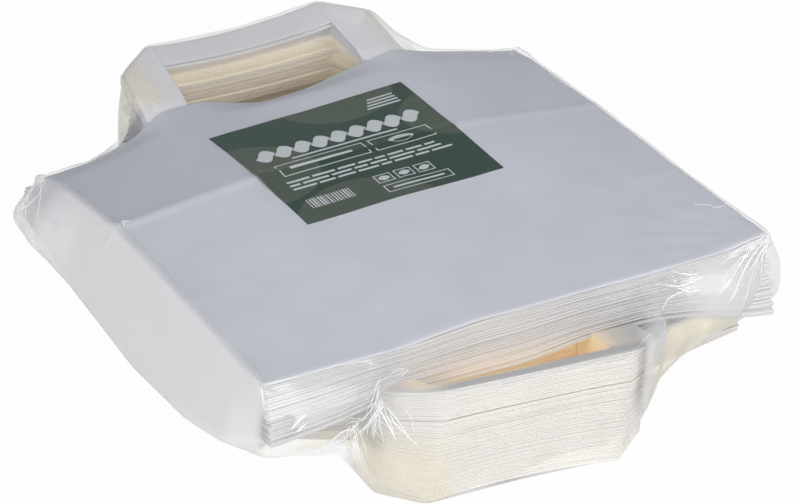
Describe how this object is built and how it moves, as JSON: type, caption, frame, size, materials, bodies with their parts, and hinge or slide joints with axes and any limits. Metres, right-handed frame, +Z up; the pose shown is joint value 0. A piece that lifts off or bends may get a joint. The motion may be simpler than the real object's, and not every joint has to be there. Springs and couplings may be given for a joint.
{
  "type": "film-wrapped pack of paper carrier bags",
  "caption": "Sealed shrink-film pack of flat-folded white paper carrier bags with flat paper handles, stacked in two groups turned end for end, with a plain green label card.",
  "frame": {"origin": "On the surface the pack lies on, under the middle of its outer box.", "axes": "+X to the right across the bags' width, +Y towards the mouths and handles of the upper bags, +Z up."},
  "size_m": [0.2888, 0.3772, 0.0695],
  "materials": {
    "bag_paper": "matte white kraft paper, slightly cool, fine fibre",
    "handle_paper": "matte white kraft paper, folded flat strip",
    "label_card": "printed card, dark green with olive fields and pale bars",
    "shrink_film": "clear glossy polyolefin shrink film, taut and wrinkled"
  },
  "bodies": {
    "root": {"bag_01_body": "bag_paper", "bag_01_front_handle": "handle_paper", "bag_01_back_handle": "handle_paper", "bag_01_front_patch": "handle_paper", "bag_01_back_patch": "handle_paper", "bag_02": "bag_paper", "bag_03": "bag_paper", "bag_04": "bag_paper", "bag_05": "bag_paper", "bag_06": "bag_paper", "bag_07": "bag_paper", "bag_08": "bag_paper", "bag_09": "bag_paper", "bag_10": "bag_paper", "bag_11": "bag_paper", "bag_12": "bag_paper", "bag_13": "bag_paper", "bag_14": "bag_paper", "bag_15": "bag_paper", "bag_16": "bag_paper", "bag_17": "bag_paper", "bag_18": "bag_paper", "bag_19": "bag_paper", "bag_20": "bag_paper", "bag_21": "bag_paper", "bag_22": "bag_paper", "bag_23": "bag_paper", "bag_24": "bag_paper", "bag_25": "bag_paper", "bag_26": "bag_paper", "bag_27": "bag_paper", "bag_28": "bag_paper", "bag_29": "bag_paper", "bag_30": "bag_paper", "bag_31": "bag_paper", "bag_32": "bag_paper", "bag_33": "bag_paper", "bag_34": "bag_paper", "bag_35": "bag_paper", "bag_36": "bag_paper", "bag_37": "bag_paper", "bag_38": "bag_paper", "bag_39": "bag_paper", "bag_40": "bag_paper", "bag_41": "bag_paper", "bag_42": "bag_paper", "bag_43": "bag_paper", "bag_44": "bag_paper", "bag_45": "bag_paper", "bag_46": "bag_paper", "bag_47": "bag_paper", "bag_48": "bag_paper", "bag_49": "bag_paper", "bag_50": "bag_paper", "label_card": "label_card", "film_wrap": "shrink_film"}
  },
  "joints": []
}
